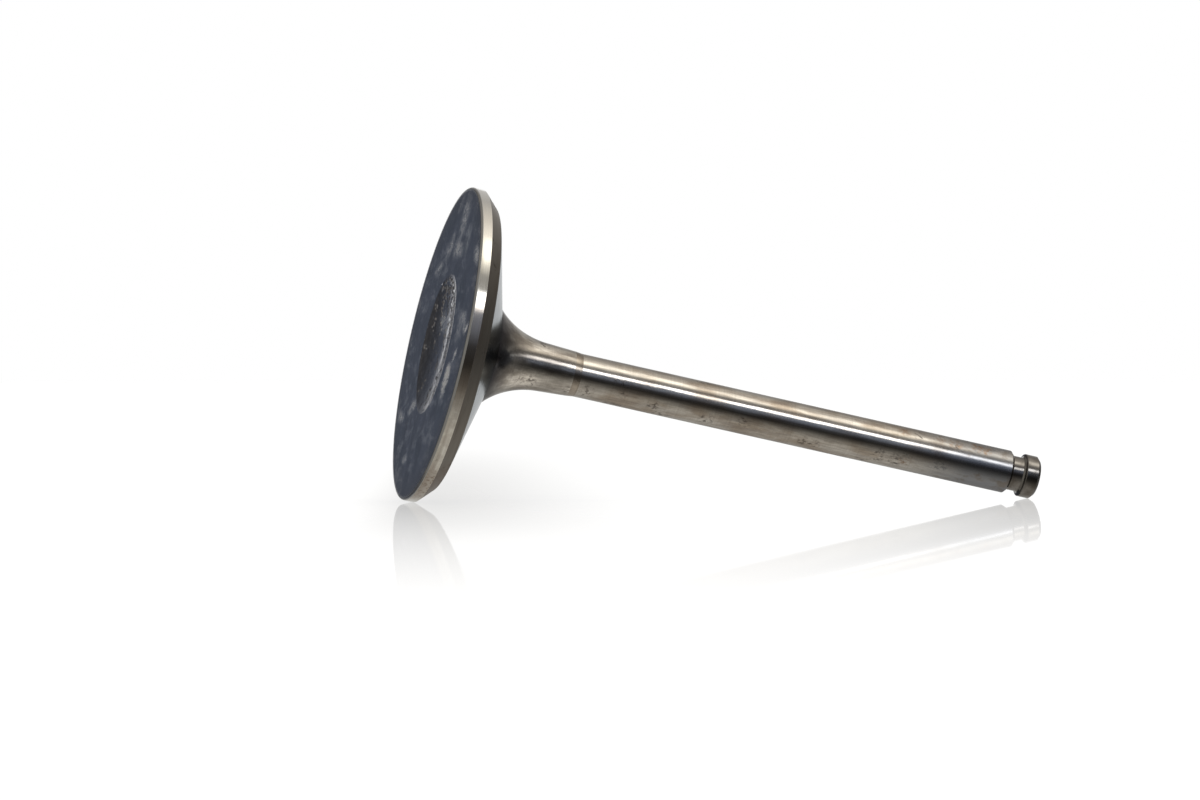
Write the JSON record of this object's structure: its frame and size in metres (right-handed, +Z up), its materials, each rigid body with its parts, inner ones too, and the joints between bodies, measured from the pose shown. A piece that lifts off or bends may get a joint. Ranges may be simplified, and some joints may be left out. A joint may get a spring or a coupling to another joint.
{
  "type": "engine valve",
  "caption": "Steel poppet valve with a dished disc head, ground seat, hollow-curved neck and a slim ground stem with a keeper groove near its tip.",
  "frame": {"origin": "centre of the combustion face, in the plane of its flat annulus", "axes": "+Z up the stem from the combustion face to the tip; X and Y are equal, because the valve is a body of revolution"},
  "size_m": [0.0508, 0.0508, 0.1013],
  "materials": {
    "valve_steel": "ground and polished valve steel, with a dark satin combustion face and a dull turned neck"
  },
  "bodies": {
    "root": {"valve": "valve_steel"}
  },
  "joints": []
}
